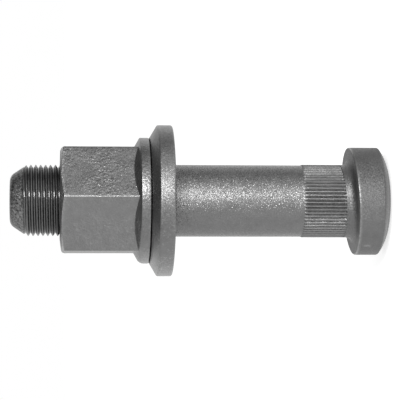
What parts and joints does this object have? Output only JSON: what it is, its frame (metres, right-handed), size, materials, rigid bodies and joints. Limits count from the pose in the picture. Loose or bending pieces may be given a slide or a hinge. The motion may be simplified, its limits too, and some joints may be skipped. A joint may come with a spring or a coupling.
{
  "type": "wheel stud with nut",
  "caption": "Forged press-in wheel stud with serrated neck, plain shank and threaded tip, carrying a flanged hexagon nut with a captive bevelled washer.",
  "frame": {"origin": "centre of the flat end of the stud's head, on the surface that it stands on", "axes": "+Z along the stud's axis from the head to the threaded tip; -Y faces the viewer, with a corner of the nut's hexagon a few degrees from -Y towards +X"},
  "size_m": [0.0466, 0.0466, 0.1165],
  "materials": {
    "stud_steel": "dull grey phosphated forged steel, darker in the thread",
    "nut_steel": "dull grey phosphated forged steel with small dents on the flats",
    "washer_steel": "dull grey phosphated steel, grainy on the rim"
  },
  "bodies": {
    "stud": {"wheel_stud": "stud_steel"},
    "washer": {"captive_washer": "washer_steel"},
    "nut": {"wheel_nut": "nut_steel"}
  },
  "joints": [
    {"name": "washer_travel", "type": "slide", "parent": "stud", "child": "washer", "axis": [0, 0, 1], "range_m": [-0.0015, 0.0405]},
    {"name": "nut_turn", "type": "hinge", "parent": "washer", "child": "nut", "pos_m": [0, 0, 0.0905], "axis": [0, 0, 1], "range_deg": [-360, 9720]}
  ],
  "couplings": [
    {"joint": "washer_travel", "follows": "nut_turn", "m_per_rad": 0.00023873}
  ]
}
